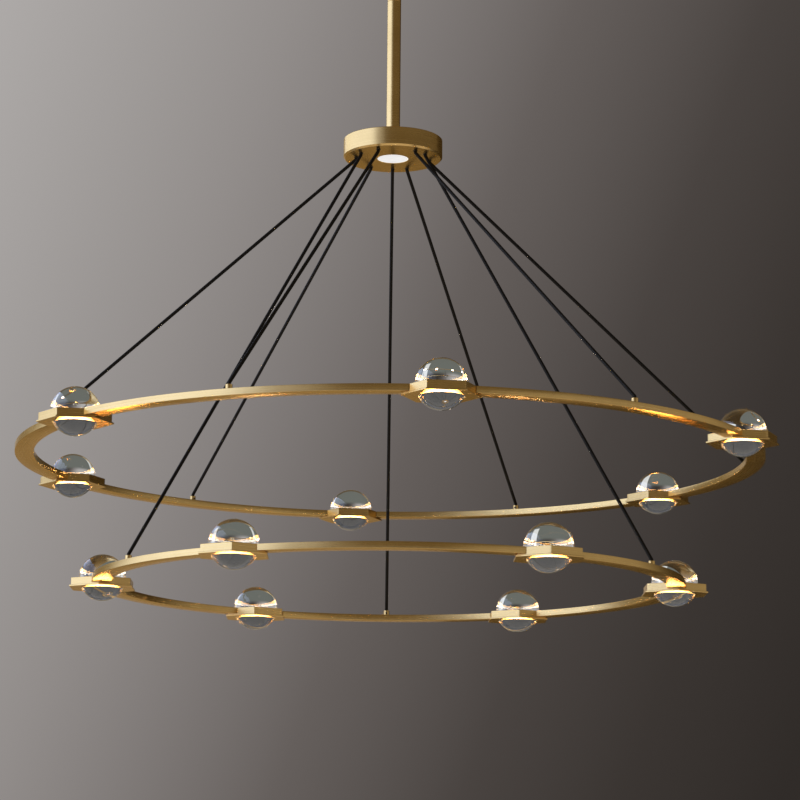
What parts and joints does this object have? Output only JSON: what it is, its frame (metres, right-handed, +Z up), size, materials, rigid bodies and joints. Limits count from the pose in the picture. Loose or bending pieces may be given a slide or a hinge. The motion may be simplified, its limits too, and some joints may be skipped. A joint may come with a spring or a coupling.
{
  "type": "crystal chandelier",
  "caption": "Tiered ring chandelier: brass rings with clear crystal balls in lit six-sided brackets, hung on black cables from a round hub on a swivelling rod.",
  "frame": {"origin": "centre of the ceiling face of the crossbar, midway between its two box screws", "axes": "+Z up towards the ceiling, +X along the crossbar, -Y towards the viewer of the picture"},
  "size_m": [1.524, 1.6104, 1.4756],
  "materials": {
    "satin_brass": "satin, finely brushed",
    "raw_brass": "turned, unfinished",
    "zinc_steel": "zinc plated",
    "black_steel": "black oxide",
    "green_screw": "green plated",
    "black_cable": "matte black sheath over a steel core",
    "black_rubber": "matte",
    "clear_crystal": "polished, clear",
    "opal_lens": "frosted, lit from behind",
    "lamp_board": "white circuit board",
    "driver_case": "moulded",
    "white_nylon": "moulded",
    "wire_cover": "insulated wire",
    "cast_aluminium": "die cast"
  },
  "bodies": {
    "ceiling_mount": {"ceiling_crossbar": "zinc_steel", "ground_screw": "green_screw", "canopy_studs": "zinc_steel", "canopy_cover": "satin_brass", "canopy_cap_nuts": "satin_brass"},
    "swivel_turn": {"swivel_seat": "satin_brass"},
    "swivel_cradle": {"swivel_liner": "white_nylon"},
    "chandelier": {"swivel_ball": "satin_brass", "upper_rod": "satin_brass", "lower_rod": "satin_brass", "rod_end_plugs": "raw_brass", "stem_nipples": "zinc_steel", "hub_flange_nut": "zinc_steel", "supply_leads": "wire_cover", "hub_shell": "satin_brass", "hub_plate": "satin_brass", "hub_posts": "raw_brass", "hub_screws": "satin_brass", "cable_bushings": "black_rubber", "cable_grips": "raw_brass", "downlight_housing": "cast_aluminium", "downlight_led_board": "lamp_board", "downlight_lens": "opal_lens", "led_drivers": "driver_case", "terminal_block": "driver_case", "hub_wiring_loom": "wire_cover", "cable_ferrules": "satin_brass", "ferrule_nuts": "raw_brass", "set_screws": "black_steel", "upper_ring_bars": "satin_brass", "lower_ring_bars": "satin_brass", "joining_tongues": "raw_brass", "ring_wiring": "wire_cover", "upper_hex_frames": "satin_brass", "lower_hex_frames": "satin_brass", "upper_seat_plates": "satin_brass", "lower_seat_plates": "satin_brass", "lamp_strips": "lamp_board", "upper_cable_1": "black_cable", "upper_cable_2": "black_cable", "upper_cable_3": "black_cable", "upper_cable_4": "black_cable", "upper_cable_5": "black_cable", "upper_cable_6": "black_cable", "lower_cable_1": "black_cable", "lower_cable_2": "black_cable", "lower_cable_3": "black_cable", "upper_crystal_1": "clear_crystal", "upper_crystal_2": "clear_crystal", "upper_crystal_3": "clear_crystal", "upper_crystal_4": "clear_crystal", "upper_crystal_5": "clear_crystal", "upper_crystal_6": "clear_crystal", "lower_crystal_1": "clear_crystal", "lower_crystal_2": "clear_crystal", "lower_crystal_3": "clear_crystal", "lower_crystal_4": "clear_crystal", "lower_crystal_5": "clear_crystal", "lower_crystal_6": "clear_crystal"}
  },
  "joints": [
    {"name": "canopy_turn", "type": "hinge", "parent": "ceiling_mount", "child": "swivel_turn", "pos_m": [0, 0, -0.0255], "axis": [0, 0, 1], "range_deg": [-170, 170]},
    {"name": "hang_tilt_x", "type": "hinge", "parent": "swivel_turn", "child": "swivel_cradle", "pos_m": [0, 0, -0.0255], "axis": [1, 0, 0], "range_deg": [-10, 10]},
    {"name": "hang_tilt_y", "type": "hinge", "parent": "swivel_cradle", "child": "chandelier", "pos_m": [0, 0, -0.0255], "axis": [0, 1, 0], "range_deg": [-10, 10]}
  ]
}
